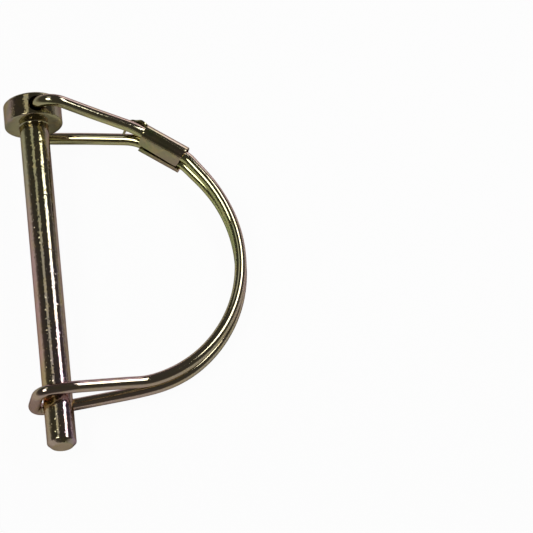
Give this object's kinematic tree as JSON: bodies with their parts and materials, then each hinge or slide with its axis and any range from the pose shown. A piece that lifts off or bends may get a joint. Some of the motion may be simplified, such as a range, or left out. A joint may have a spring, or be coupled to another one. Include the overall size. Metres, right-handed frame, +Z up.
{
  "type": "wire lock pin",
  "caption": "Round steel pin with a cross-drilled head and a hinged D-shaped wire bail that loops round the shank near its tip, crimped in a folded sheet ferrule.",
  "frame": {"origin": "middle of the bounding box's base, on the table", "axes": "+Z up from the table; the pin lies in the Y-Z plane with its head towards +Y, and the bail's D points towards +X"},
  "size_m": [0.05, 0.0822, 0.0207],
  "materials": {
    "zinc_pin": "yellow zinc plating, iridescent, on turned steel",
    "zinc_wire": "yellow zinc plating, iridescent, on drawn spring wire",
    "zinc_ferrule": "yellow zinc plating, iridescent, on folded sheet"
  },
  "bodies": {
    "pin": {"pin": "zinc_pin"},
    "bail": {"wire_bail": "zinc_wire", "ferrule": "zinc_ferrule"}
  },
  "joints": [
    {"name": "bail_swing", "type": "hinge", "parent": "pin", "child": "bail", "pos_m": [-0.0187, 0.03749, 0.01089], "axis": [-0.1261, 0.0662, -0.9898], "range_deg": [0, 3]}
  ]
}
